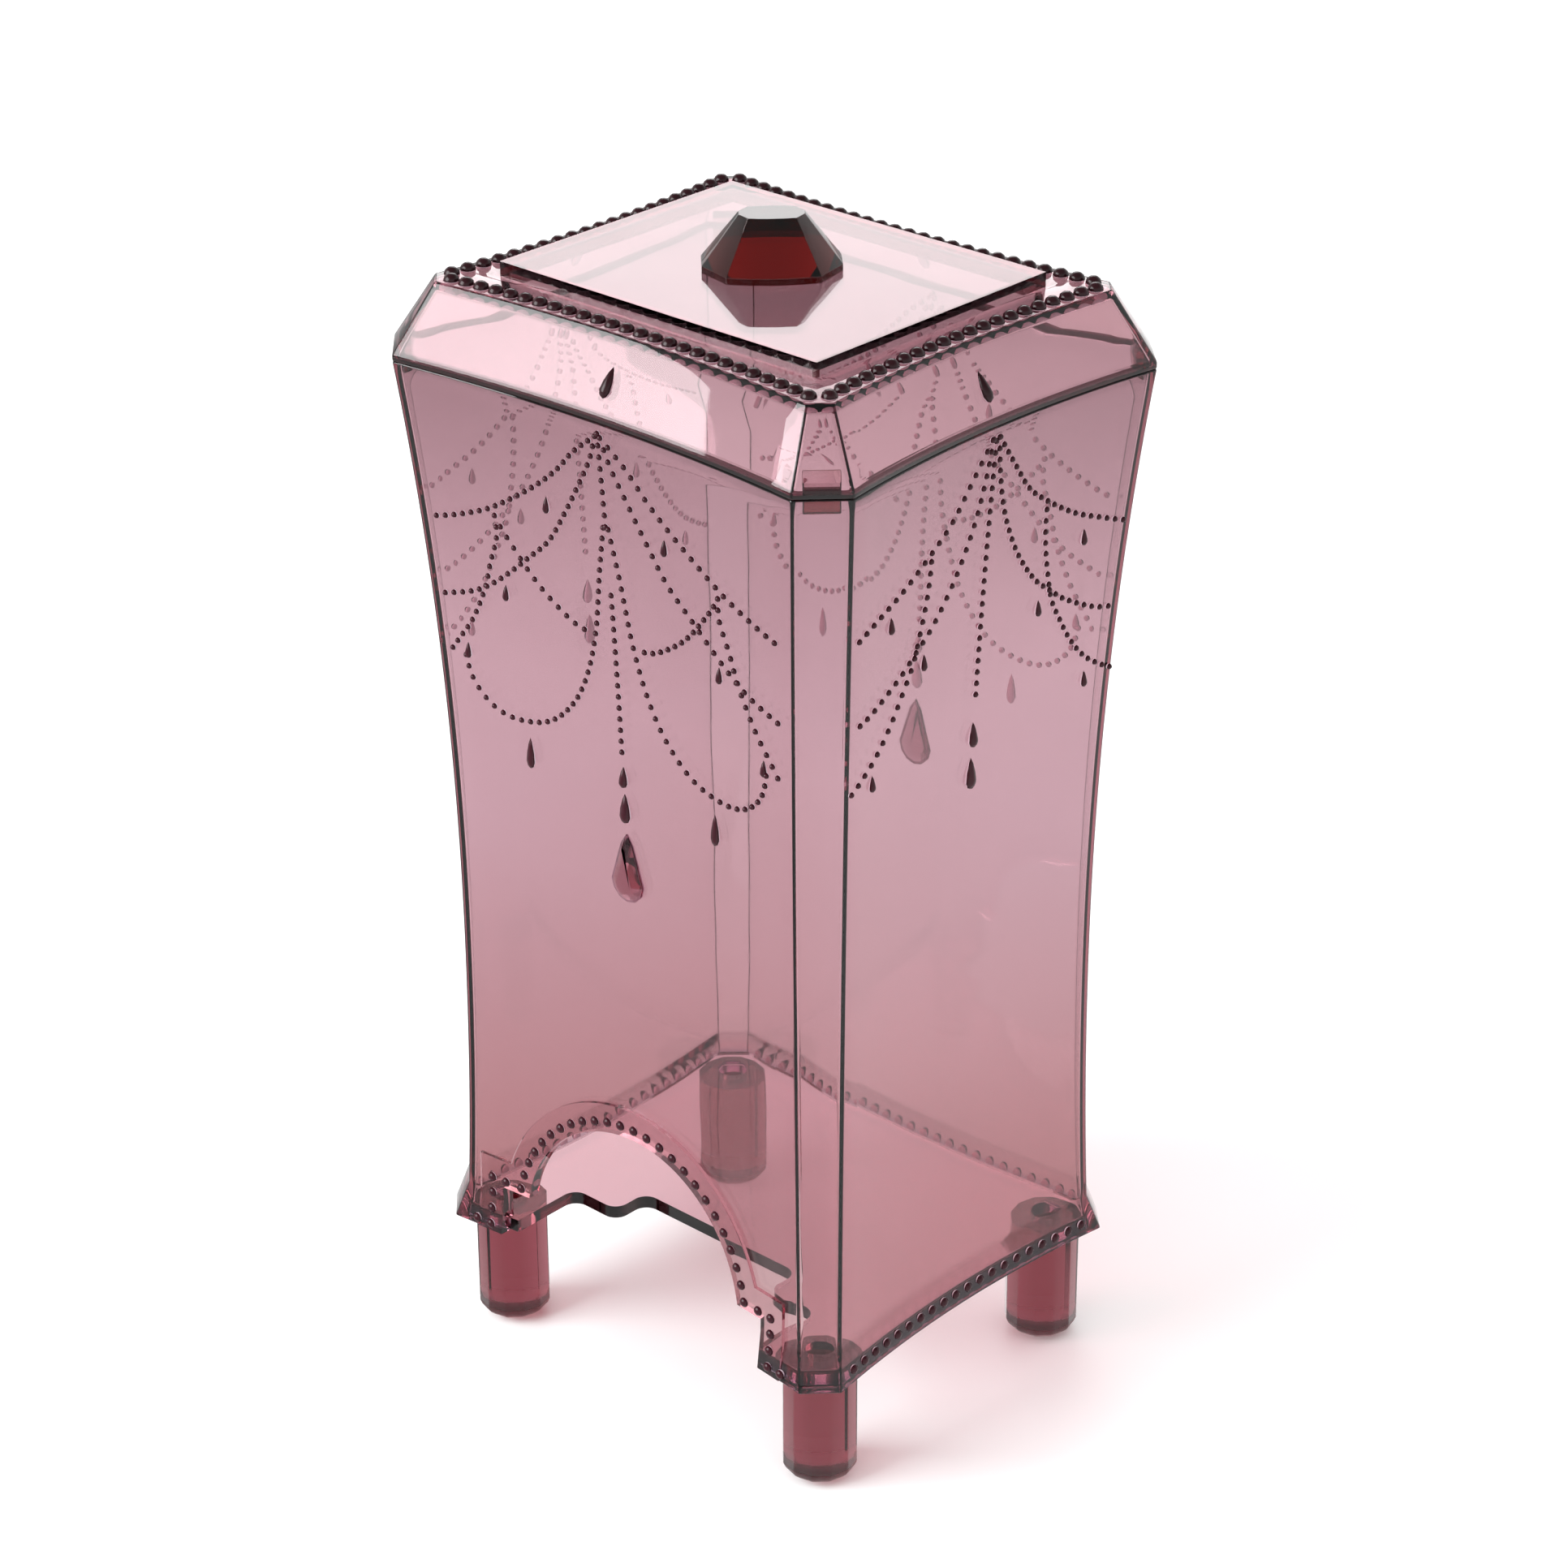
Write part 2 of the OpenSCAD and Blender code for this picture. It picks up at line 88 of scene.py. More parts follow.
def side_at(level, y):
    """Distance from the middle to a side wall at y."""
    z, half_x, half_y, corner, inset = level
    radius = SIDE_AXIS - half_x + (half_y - corner) ** 2 / (2 * SIDE_CURVE) + inset
    return SIDE_AXIS - math.sqrt(radius ** 2 - y ** 2)


def ring_point(level, wall, share):
    """Point of an outline: walls 0 to 3 are front, right, back and left."""
    z, half_x, half_y, corner, inset = level
    across = half_x + half_y - corner - inset * math.sqrt(2)
    at = front_at if wall % 2 == 0 else side_at
    end = (half_x if wall % 2 == 0 else half_y) - corner
    # A few rounds settle the point where the curved wall meets the corner flat
    for _ in range(9):
        end = across - at(level, end)
    along = end * (2 * share - 1)
    x, y = (along, -at(level, along)) if wall % 2 == 0 else (at(level, along), along)
    return Vector((x, y, z)) if wall < 2 else Vector((-x, -y, z))


def tube(levels, steps=16):
    """Open tube through the outlines, each wall in so many steps."""
    columns, rows = 4 * (steps + 1), len(levels) - 1
    bm = bmesh.new()
    bmesh.ops.create_grid(bm, x_segments=columns, y_segments=rows, size=1)
    for v in bm.verts:
        wall, step = divmod(round((v.co.x + 1) / 2 * columns) % columns, steps + 1)
        v.co = ring_point(levels[round((v.co.y + 1) / 2 * rows)], wall, step / steps)
    bmesh.ops.remove_doubles(bm, verts=bm.verts, dist=1e-4)
    return bm


def soften(bm, offset, angle=30.0, segments=3):
    """Rounds the edges that turn by more than an angle."""
    bmesh.ops.recalc_face_normals(bm, faces=bm.faces)
    edges = [e for e in bm.edges if e.calc_face_angle(0) > math.radians(angle)]
    bmesh.ops.bevel(bm, geom=edges, offset=offset, segments=segments, profile=0.5,
                    affect="EDGES", material=-1, clamp_overlap=True)
    return bm


def combine(bm, other, operation):
    """The first solid after a boolean with the second."""
    holders = []
    for solid in (bm, other):
        bmesh.ops.recalc_face_normals(solid, faces=solid.faces)
        mesh = bpy.data.meshes.new("solid")
        solid.to_mesh(mesh)
        solid.free()
        holders.append(bpy.data.objects.new("solid", mesh))
        scene.collection.objects.link(holders[-1])
    modifier = holders[0].modifiers.new("boolean", "BOOLEAN")
    modifier.operation = operation
    modifier.solver = "EXACT"
    modifier.object = holders[1]
    result = bmesh.new()
    result.from_object(holders[0], bpy.context.evaluated_depsgraph_get())
    for holder in holders:
        mesh = holder.data
        bpy.data.objects.remove(holder)
        bpy.data.meshes.remove(mesh)
    return result


def box(x0, x1, y0, y1, z0, z1):
    """Block between two corners."""
    bm = bmesh.new()
    place = Matrix.Translation(((x0 + x1) / 2, (y0 + y1) / 2, (z0 + z1) / 2))
    size = Matrix.Diagonal((x1 - x0, y1 - y0, z1 - z0, 1))
    bmesh.ops.create_cube(bm, size=1, matrix=place @ size)
    return bm


def arch_block(grow):
    """Block in the shape of the arch, larger by grow, through the front wall."""
    bm = bmesh.new()
    middle, length, below = -40.0, 50.0, 15.0
    place = Matrix.Translation((0, middle, ARCH_AXIS)) @ Matrix.Rotation(math.radians(90), 4, "X")
    bmesh.ops.create_cone(bm, cap_ends=True, segments=144, radius1=ARCH_RADIUS + grow,
                          radius2=ARCH_RADIUS + grow, depth=length, matrix=place)
    # The feet are 1 mm shorter, so that no end faces coincide
    reach = (length - 1) / 2
    feet = box(-STEP_HALF - grow, STEP_HALF + grow, middle - reach, middle + reach, below,
               STEP_TOP + grow)
    return combine(bm, feet, "UNION")


def add(tree, kind, inputs=None, **settings):
    """A node with its settings; an input takes a value or another node's output. Inputs go by
    name, or by number where names repeat, as 6 and 7 for the two colours of a colour mix."""
    node = tree.nodes.new(kind)
    for key, value in settings.items():
        setattr(node, key, value)
    for key, value in (inputs or {}).items():
        if isinstance(value, bpy.types.NodeSocket):
            tree.links.new(value, node.inputs[key])
        else:
            node.inputs[key].default_value = value
    return node


def rgb(code):
    """Linear colour of an sRGB hex code."""
    parts = [int(code[i:i + 2], 16) / 255 for i in (1, 3, 5)]
    return [p / 12.92 if p <= 0.04045 else ((p + 0.055) / 1.055) ** 2.4 for p in parts] + [1]


def clear_plastic(name, tint, density, rough, shadow, tone="#fdfafb", bands=(), matt=-1.0):
    """Clear moulded plastic: colour from its depth, a faint ripple and fine handling marks.
    The tint and its density per metre colour the depth, the tone the surface, and shadow what
    falls through. Bands are a middle height, half a width and a soft edge in metres, with a
    tone. Below the height matt it is dull."""
    mat = bpy.data.materials.new(name)
    mat.use_nodes = True
    tree = mat.node_tree
    tree.nodes.clear()
    place = add(tree, "ShaderNodeTexCoord").outputs["Object"]
    # Fine handling marks: the polish varies a little over a few millimetres
    marks = add(tree, "ShaderNodeTexNoise", {"Vector": place, "Scale": 420.0, "Detail": 3.0})
    polish = add(tree, "ShaderNodeMapRange", {"Value": marks.outputs["Fac"], "From Min": 0.3,
                 "From Max": 0.75, "To Min": rough * 0.5, "To Max": rough * 1.6})
    # Slow ripple that moulded walls keep, about 25 mm long
    ripple = add(tree, "ShaderNodeTexNoise", {"Vector": place, "Scale": 40.0, "Detail": 1.0})
    relief = add(tree, "ShaderNodeBump", {"Height": ripple.outputs["Fac"], "Strength": 0.25,
                 "Distance": 0.0006})
    # Haze that drifts over the moulding by a few per cent
    haze_and_painted_shade = add(tree, "ShaderNodeMix", {0: ripple.outputs["Fac"], 6: rgb(tone),
               7: [min(1.0, c * 1.05) for c in rgb(tone)]}, data_type="RGBA").outputs[2]
    # Bands of another tone at given heights: painted shade, as dark lines along cut edges, and deeper
    # colour where the plastic is thick, as in a tab
    height = add(tree, "ShaderNodeSeparateXYZ", {0: place}).outputs["Z"]
    for middle, half, soft, deep in bands:
        off = add(tree, "ShaderNodeMath", {0: height, 1: middle}, operation="SUBTRACT")
        off = add(tree, "ShaderNodeMath", {0: off.outputs[0]}, operation="ABSOLUTE")
        band = add(tree, "ShaderNodeMapRange", {"Value": off.outputs[0], "From Min": half,
                   "From Max": half + soft, "To Min": 1.0, "To Max": 0.0})
        haze_and_painted_shade = add(tree, "ShaderNodeMix", {0: band.outputs[0], 6: haze_and_painted_shade, 7: rgb(deep)},
                   data_type="RGBA").outputs[2]
    # Worn dull where it stands on the shelf
    worn = add(tree, "ShaderNodeMath", {0: height, 1: matt}, operation="LESS_THAN")
    polish = add(tree, "ShaderNodeMath", {0: worn.outputs[0], 1: 0.4, 2: polish.outputs["Result"]},
                 operation="MULTIPLY_ADD")
    surface = add(tree, "ShaderNodeBsdfPrincipled", {"Base Color": haze_and_painted_shade,
                  "Roughness": polish.outputs[0], "IOR": 1.49,
                  "Transmission Weight": 1.0, "Normal": relief.outputs["Normal"]})
    through = add(tree, "ShaderNodeBsdfTransparent", {"Color": rgb(shadow)})
    shade = add(tree, "ShaderNodeLightPath").outputs["Is Shadow Ray"]
    mixed = add(tree, "ShaderNodeMixShader", {0: shade, 1: surface.outputs["BSDF"],
                2: through.outputs["BSDF"]})
    depth = add(tree, "ShaderNodeVolumeAbsorption", {"Color": rgb(tint), "Density": density})
    add(tree, "ShaderNodeOutputMaterial", {"Surface": mixed.outputs["Shader"],
        "Volume": depth.outputs["Volume"]})
    return mat


def mark_corner_edges(bm):
    """Gives the rounded edges beside the corner flats, on the outside, the second material, whose
    dark tone is painted shade.
    Their faces turn more than the walls do, and less than the flats at 45 degrees."""
    bm.normal_update()
    for f in bm.faces:
        turn = math.degrees(math.atan2(abs(f.normal.y), abs(f.normal.x)))
        outside = f.normal.xy.dot(f.calc_center_median().xy) > 0
        upright = abs(f.normal.z) < 0.8
        if outside and upright and 14 < min(turn, 90 - turn) < 38:
            f.material_index = 1


def piece(name, bm, body, materials, nodes=(), sharp=25.0):
    """A finished piece: metres, outward normals, smooth but for sharp edges, on its body."""
    bmesh.ops.remove_doubles(bm, verts=bm.verts, dist=1e-4)
    bmesh.ops.recalc_face_normals(bm, faces=bm.faces)
    for f in bm.faces:
        f.smooth = True
    for e in bm.edges:
        e.smooth = e.calc_face_angle(0) < math.radians(sharp)
    bmesh.ops.scale(bm, vec=(0.001, 0.001, 0.001), verts=bm.verts)
    mesh = bpy.data.meshes.new(name)
    bm.to_mesh(mesh)
    bm.free()
    obj = bpy.data.objects.new(name, mesh)
    scene.collection.objects.link(obj)
    for mat in materials:
        mesh.materials.append(mat)
    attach(obj, body)
    if nodes:
        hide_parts(*nodes)
    return obj


# Tint of the plastic, how dense it is per metre, and what colour light leaves it
ROSE, ROSE_DENSITY, ROSE_SHADOW = "#cc567c", 300.0, "#e9d2d7"
# Clear styrene plastic, injection moulded: rose, greyer towards the rim, warmer over the floor, and
# bands of painted shade: a bluish line along the skirt and a near-black one at the rim, for the dark
# their edges show
body_plastic = clear_plastic("clear_rose_moulded_plastic", ROSE, ROSE_DENSITY, 0.02, ROSE_SHADOW,
                             "#eae7ea", [(0.17, 0.006, 0.045, "#d0c6ca"),
                                         (0.018, 0.01, 0.06, "#e3d2d1"),
                                         (0.0202, 0.0009, 0.0012, "#a9aaba"),
                                         (0.163, 0.0002, 0.00002, "#2c0a12")])
# The same plastic along a rounded corner edge, in a dark tone that is painted shade: it draws the
# dark line seen there
painted_shade_edge_plastic = clear_plastic("corner_edge_painted_shade", ROSE, ROSE_DENSITY, 0.02, ROSE_SHADOW, "#5a2431")
# Heights of the outlines, closer together where the skirt flares
rings = [SKIRT, 21.6, 23.6, 25.2, SKIRT_TOP, 26.2]
rings += [rings[-1] + (RIM - rings[-1]) * i / 44 for i in range(1, 45)]
outer = [wall_level(z, flare(z)) for z in rings]
inner = [wall_level(RIM - (RIM - FLOOR_TOP) * i / 40, 0, WALL) for i in range(41)]
inner += [wall_level(z, 0, SKIRT_WALL) for z in (FLOOR_TOP, SKIRT)]
walls = soften(tube(outer + inner + outer[:1]), 0.45)
# The raised border is cut from a second, wider shell, and the arch then goes through both
rings = [SKIRT, 22.6] + [SKIRT_TOP + (BORDER_TOP - SKIRT_TOP) * i / 12 for i in range(13)]
border_out = [wall_level(z, BORDER_RISE + flare(z) / 2) for z in rings]
border_in = [wall_level(z, 0, WALL / 2) for z in (BORDER_TOP, 40.0, 30.0, SKIRT)]
border = tube(border_out + border_in + border_out[:1])
border = combine(border, arch_block(BORDER_WIDTH), "INTERSECT")
walls = combine(combine(walls, border, "UNION"), arch_block(0), "DIFFERENCE")
mark_corner_edges(walls)
piece("body_walls", walls, "box", [body_plastic, painted_shade_edge_plastic], ["body_shell"])

# Beading and drops on the walls
# Strings of small dark beads swagged over the walls, drops at their ends and middles, and rows of
# round beads on the border of the arch and round the skirt. Raised on the outside of the moulding.


def gloss(name, colour, other, rough, mottle, glow=0.0):
    """Opaque glossy plastic whose colour wanders a little from bead to bead; it may have a painted
    glow, an emission that stands in for the light that passes through the wall behind it."""
    mat = bpy.data.materials.new(name)
    mat.use_nodes = True
    tree = mat.node_tree
    tree.nodes.clear()
    place = add(tree, "ShaderNodeTexCoord").outputs["Object"]
    # Tone drifts between two close colours over a few millimetres
    drift = add(tree, "ShaderNodeTexNoise", {"Vector": place, "Scale": mottle, "Detail": 2.0})
    tone = add(tree, "ShaderNodeMix", {0: drift.outputs["Fac"], 6: rgb(colour), 7: rgb(other)},
               data_type="RGBA")
    surface = add(tree, "ShaderNodeBsdfPrincipled", {"Base Color": tone.outputs[2],
                  "Roughness": rough, "IOR": 1.49, "Specular IOR Level": 0.3,
                  "Emission Color": tone.outputs[2], "Emission Strength": glow})
    add(tree, "ShaderNodeOutputMaterial", {"Surface": surface.outputs["BSDF"]})
    return mat


def wall_point(wall, along, z, out=0.0):
    """Point on the outside of a wall and the way it faces; walls as for ring_point."""
    at = (front_at if wall % 2 == 0 else side_at)(wall_level(z, out), along)
    turn = Matrix.Rotation(math.pi * (wall > 1), 3, "Z")
    point = Vector((along, -at, z)) if wall % 2 == 0 else Vector((at, along, z))
    return turn @ point, turn @ Vector((0, -1, 0) if wall % 2 == 0 else (1, 0, 0))


def bead(bm, point, way, radius, rise, length=0.0):
    """A round bead, or an upright drop where it has a length. It rises from the wall by rise,
    and its side at the wall has the second material."""
    turned = way.to_track_quat("Z", "Y").to_matrix()
    up = turned.col[1]
    place = Matrix.Translation(point) @ turned.to_4x4()
    made = bmesh.ops.create_uvsphere(bm, u_segments=10, v_segments=6, radius=1, matrix=place @
                                     Matrix.Diagonal((radius, length / 2 or radius, rise, 1)))
    for v in made["verts"] if length else ():
        # Widest low down, drawn to a point above
        share = 2 * (v.co - point).dot(up) / length
        middle = point + up * (v.co - point).dot(up)
        v.co = middle.lerp(v.co, 1 - 0.5 * max(0.0, share))
        v.co += up * (length / 2 * (0.35 * abs(share) - 0.35))
    for f in {f for v in made["verts"] for f in v.link_faces}:
        f.normal_update()
        f.material_index = int(f.normal.dot(way) < -0.2)


def gather(total, part, place=None):
    """Adds a part to the whole."""
    if place:
        bmesh.ops.transform(part, matrix=place, verts=part.verts)
    mesh = bpy.data.meshes.new("part")
    part.to_mesh(mesh)
    part.free()
    total.from_mesh(mesh)
    bpy.data.meshes.remove(mesh)


def strung(points, pitch):
    """Places a pitch apart along a smooth line through the points."""
    knots = [Vector((u, 0, z)) for u, z in points]
    ends = [knots[0]] + knots + [knots[-1]]
    line = []
    for a, b, c, d in zip(ends, ends[1:], ends[2:], ends[3:]):
        line += interpolate_bezier(b, b + (c - a) / 6, c - (d - b) / 6, c, 12)
    places, left = [line[0]], pitch
    for a, b in zip(line, line[1:]):
        length = (b - a).length
        while length >= left > 0:
            places.append(a.lerp(b, left / length))
            left += pitch
        left -= length
    return places


# Distance between the beads of a string, their radius and half their height
STRING_PITCH, STRING_BEAD, STRING_RISE = 1.78, 0.46, 0.5
# The same for the round beads of the arch and the skirt
ROW_PITCH, ROW_BEAD, ROW_RISE = 2.74, 0.8, 0.6
# Their line over the arch as a radius, beside and over its stepped feet, and where it ends
ARCH_LINE, STEP_LINE_X, STEP_LINE_Z, LINE_END = 24.04, 29.41, 28.98, 20.85
# Opaque plastic beading: near-black maroon and glossy in front, and seen from behind, through
# the wall, a pale mauve with a painted glow that stands in for the light in the wall
bead_dark = gloss("dark_maroon_beading", "#270410", "#380a17", 0.2, 300.0)
bead_back = gloss("pale_underside_with_painted_glow", "#c2b4bc", "#b6a7b0", 0.35, 300.0, 0.6)
FRONT_SWAGS = [
    [(0.5, 161), (5, 157.5), (8.8, 153.6), (13.5, 149.8), (20.5, 145.2), (24.5, 143.1), (30, 141),
     (34, 139.9)],
    [(0.5, 161), (2, 157), (4.9, 152), (8, 147), (11.5, 141.9), (15.8, 138), (22, 132.8),
     (27, 129.7), (33.4, 127.6)],
    [(21.8, 143), (21.8, 139.6), (23.5, 135), (25, 130.5), (27.8, 125), (31, 120.7), (33.2, 117.8)],
    [(21.8, 143), (20.5, 141), (18, 138), (15.3, 135), (12.1, 132.4), (7.9, 130), (4.4, 129.3)],
    [(0.5, 147), (1.9, 140), (2.8, 134.5), (3.6, 130), (5.5, 123.5), (8.2, 118), (11.8, 113.9),
     (15.5, 111.6), (20.3, 110.6), (24, 111), (26.9, 112.7), (29, 115.5), (30, 119.5)]]
SIDE_SWAGS = [
    [(0.8, 161.4), (2.3, 159.3), (5, 155.6), (8.3, 151.3), (12.6, 148), (18.4, 144.5), (24.5, 142),
     (28.6, 140.5)],
    [(0.6, 161.4), (1.6, 155.4), (3.2, 149.4), (5.7, 143.8), (8.2, 139.8), (11.4, 136),
     (14.6, 133.5), (18, 131), (24, 128), (28, 127)],
    [(12.4, 146.8), (12.5, 143.8), (13, 140), (13.8, 136.4), (15, 132), (17, 128.3), (19.7, 124),
     (23, 120.3), (26.7, 117.8), (28.3, 117)]]
# Small drops as place along the wall, height, width and length
FRONT_DROPS = [(11.5, 147.4, 1.1, 2.6), (21, 130.9, 1.1, 2.6), (29.3, 119.4, 1.1, 2.6),
               (18.5, 105.6, 1.6, 5)]
SIDE_DROPS = [(20.8, 140, 1.1, 2.6), (12.4, 131.3, 1.1, 2.6), (23.2, 116.6, 1.1, 2.6)]
# The strings down the middle, and the drops that end them as height, width and length
FRONT_MIDDLE = [[(0, 161.5), (0, 147)], [(0, 136.6), (0, 111.4)]]
FRONT_ENDS = [(107.6, 1.5, 3.4), (102.5, 2.0, 4.8)]
SIDE_MIDDLE = [[(0, 161), (0, 120.2)]]
SIDE_ENDS = [(115.4, 1.6, 4), (109.2, 2.0, 5)]
beading = bmesh.new()
for wall in range(4):
    front = wall % 2 == 0
    strings = [(swag, side) for swag in (FRONT_SWAGS if front else SIDE_SWAGS) for side in (-1, 1)]
    strings += [(string, 1) for string in (FRONT_MIDDLE if front else SIDE_MIDDLE)]
    for string, side in strings:
        part = bmesh.new()
        for place in strung(string, STRING_PITCH):
            point, way = wall_point(wall, side * place.x, place.z)
            bead(part, point + way * 0.12, way, STRING_BEAD, STRING_RISE)
        gather(beading, part)
    part = bmesh.new()
    for side in (-1, 1):
        for along, z, width, length in FRONT_DROPS if front else SIDE_DROPS:
            point, way = wall_point(wall, side * along, z)
            bead(part, point + way * 0.15, way, width / 2, 0.6, length)
    for z, width, length in FRONT_ENDS if front else SIDE_ENDS:
        point, way = wall_point(wall, 0, z)
        bead(part, point + way * 0.15, way, width / 2, 0.8, length)
    gather(beading, part)
# Over the arch, then out along the top of each stepped foot, down its side and onto the skirt
turn = math.acos((STEP_LINE_Z - ARCH_AXIS) / ARCH_LINE)
leans = [turn * (i / 12 - 1) for i in range(25)]
row = [(ARCH_LINE * math.sin(a), ARCH_AXIS + ARCH_LINE * math.cos(a)) for a in leans]
for side in (-1, 1):
    row.append((side * (STEP_LINE_X - ROW_PITCH), STEP_LINE_Z))
    row += [(side * STEP_LINE_X, STEP_LINE_Z - ROW_PITCH * i) for i in range(4)]
    row.append((side * (STEP_LINE_X + ROW_PITCH), LINE_END))
part = bmesh.new()
for along, z in row:
    point, way = wall_point(0, along, z, BORDER_RISE + flare(z) / 2)
    bead(part, point, way, ROW_BEAD, ROW_RISE)
gather(beading, part)
# Round the skirt: wall, number of beads and half the length of each row, and their height
SKIRT_ROWS = [(2, 25, 32.8), (1, 20, 26.65), (3, 20, 26.65)]
SKIRT_LINE = 21.6
for wall, count, half in SKIRT_ROWS:
    part = bmesh.new()
    for i in range(count):
        point, way = wall_point(wall, half * (2 * i / (count - 1) - 1), SKIRT_LINE, flare(SKIRT_LINE))
        bead(part, point, way, ROW_BEAD, ROW_RISE)
    gather(beading, part)
piece("wall_beading", beading, "box", [bead_dark, bead_back], sharp=60.0)

# Large drops
# A pear-shaped drop in the middle of the front and of the back, of clear rose plastic, moulded
# on the wall. It is cut with facets that slope up to a flat table.

DROP_HEIGHT, DROP_RADIUS = 92.8, 3.1
# How much the upper half narrows and lengthens, and how far the round part lies below the height
DROP_NARROW, DROP_STRETCH, DROP_LOW = 0.35, 1.55, 2.4
# Height of its upright edge, how far in the table lies and how far it rises, and the width of the
# rim of its seat
DROP_EDGE, TABLE_INSET, TABLE_RISE, SEAT_RIM = 0.45, 1.5, 0.75, 0.45
# Clear styrene plastic, twice as deep in colour, which shows dark where a facet turns
drop_plastic = clear_plastic("deep_rose_faceted_drop", ROSE, 2 * ROSE_DENSITY, 0.01, "#c9a0a8",
                             "#d9c6cc")
# The rim of its seat on the wall: a grey line of painted shade from inside, with a faint painted glow
drop_seat_painted_shade = gloss("seat_rim_of_drop_painted_shade_and_glow", "#8d7280", "#7d6472", 0.3, 260.0, 0.4)
drops = bmesh.new()
for wall in (0, 2):
    point, way = wall_point(wall, 0, DROP_HEIGHT, 0.03)
    drop = bmesh.new()
    bmesh.ops.create_circle(drop, cap_ends=True, segments=12, radius=DROP_RADIUS)
    for v in drop.verts:
        rise = max(0.0, v.co.y) / DROP_RADIUS
        v.co = Vector((v.co.x * (1 - DROP_NARROW * rise),
                       v.co.y * (1 + DROP_STRETCH * rise) - DROP_LOW, 0))
    raised = bmesh.ops.extrude_face_region(drop, geom=drop.faces[:])["geom"]
    bmesh.ops.translate(drop, verts=[g for g in raised if isinstance(g, bmesh.types.BMVert)],
                        vec=(0, 0, DROP_EDGE))
    bmesh.ops.recalc_face_normals(drop, faces=drop.faces)
    table = next(f for f in drop.faces if f.normal.z > 0.9)
    back = next(f for f in drop.faces if f.normal.z < -0.9)
    bmesh.ops.inset_region(drop, faces=[table], thickness=TABLE_INSET, depth=TABLE_RISE,
                           use_even_offset=True)
    for f in bmesh.ops.inset_region(drop, faces=[back], thickness=SEAT_RIM)["faces"]:
        f.material_index = 1
    turned = way.to_track_quat("Z", "Y").to_matrix().to_4x4()
    gather(drops, drop, Matrix.Translation(point) @ turned)
piece("large_drops", drops, "box", [drop_plastic, drop_seat_painted_shade], sharp=10.0)

# Floor plate
# A flat plate of the same plastic with a stepped finger cut-out, glued up into the skirt. The
# modelled plate is shown as it is.

# Clear styrene sheet: the same rose, a little duller from the pads that slide on it
floor_plastic = clear_plastic("clear_rose_sheet_plastic", ROSE, 320.0, 0.03, ROSE_SHADOW, "#eae8e9")
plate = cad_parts["floor_plate"]
plate.data.materials.clear()
plate.data.materials.append(floor_plastic)

# Legs
# Four solid twelve-sided legs of the same plastic, which looks deeper where it is solid. They
# have rounded feet and are glued under the floor.

LEG_X, LEG_Y = 32.8, 26.15
# Radius and length of the straight part, and the rounded foot as steps inward and down
LEG_RADIUS, LEG_LENGTH = 5.75, 17.2
FOOT_STEPS = [(0.3, 0.8), (0.85, 0.8), (1.25, 0.5), (1.3, 0.28)]
# Solid moulded styrene: deep rose through its thickness, worn dull under the foot
leg_plastic = clear_plastic("deep_rose_solid_plastic", ROSE, 325.0, 0.03, "#cf9aa0", matt=0.0026)
for name, x, y in (("front_left_leg", -LEG_X, -LEG_Y), ("front_right_leg", LEG_X, -LEG_Y),
                   ("rear_left_leg", -LEG_X, LEG_Y), ("rear_right_leg", LEG_X, LEG_Y)):
    leg = bmesh.new()
    middle = sum(down for inward, down in FOOT_STEPS) + LEG_LENGTH / 2
    bmesh.ops.create_cone(leg, cap_ends=True, segments=12, radius1=LEG_RADIUS, radius2=LEG_RADIUS,
                          depth=LEG_LENGTH, matrix=Matrix.Translation((x, y, middle)))
    foot = min(leg.faces, key=lambda f: f.calc_center_median().z)
    for inward, down in FOOT_STEPS:
        bmesh.ops.inset_region(leg, faces=[foot], thickness=inward, use_even_offset=True)
        bmesh.ops.translate(leg, verts=foot.verts, vec=(0, 0, -down))
    soften(leg, 0.12, 20, 1)
    piece(name + "_turned", leg, "box", [leg_plastic], [name], 14.0)

# Lid
# A lift-off mansard lid of the same plastic: sloping sides, a flat across each corner, a raised
# panel, and a tab under each corner that keeps it on the walls.

# Heights of its lower edge and of the foot of its slopes
LID_EDGE, LID_BASE = 163.02, 164.1
# How far the slopes rise and run in, and the corner flat above them
LID_RISE, LID_RUN, LID_CORNER = 10, 6.1, 2.7
# Half sizes of the raised panel, and the heights of its foot and its top
PANEL_X, PANEL_Y, PANEL_FOOT, PANEL_TOP = 30.2, 24.05, 172.9, 176.3
# The panel is hollow from inside the lid up to a top of this thickness
PANEL_HOLLOW, PANEL_SKIN = 171.0, 1.6
# The tabs: thickness, width and height, the height of their middle, and how far they lie behind
# the corner flat
TAB_SIZE = (1.2, 5.1, 5.6)
TAB_MIDDLE, TAB_BEHIND = 163.3, 2.35
# The plastic of the walls: paler on the slopes, painted shade that greys the raised panel and its
# foot, a near-black line of painted shade along the rim, and a warm red in the tabs
lid_plastic = clear_plastic("clear_rose_lid_plastic", ROSE, ROSE_DENSITY, 0.02, ROSE_SHADOW,
                            "#e6dcde", [(0.1755, 0.0022, 0.0002, "#bfb8ba"),
                                        (0.1634, 0.00034, 0.00002, "#2c0a12"),
                                        (0.16165, 0.0013, 0.00002, "#b87472")])


def lid_level(share, inset=0.0, z=None):
    """Outline of the lid at a share of the way up its slopes."""
    pull = LID_RUN * share
    corner = RIM_CORNER - (RIM_CORNER - LID_CORNER) * share
    return z or LID_BASE + LID_RISE * share, HALF_WIDTH - pull, HALF_DEPTH - pull, corner, inset


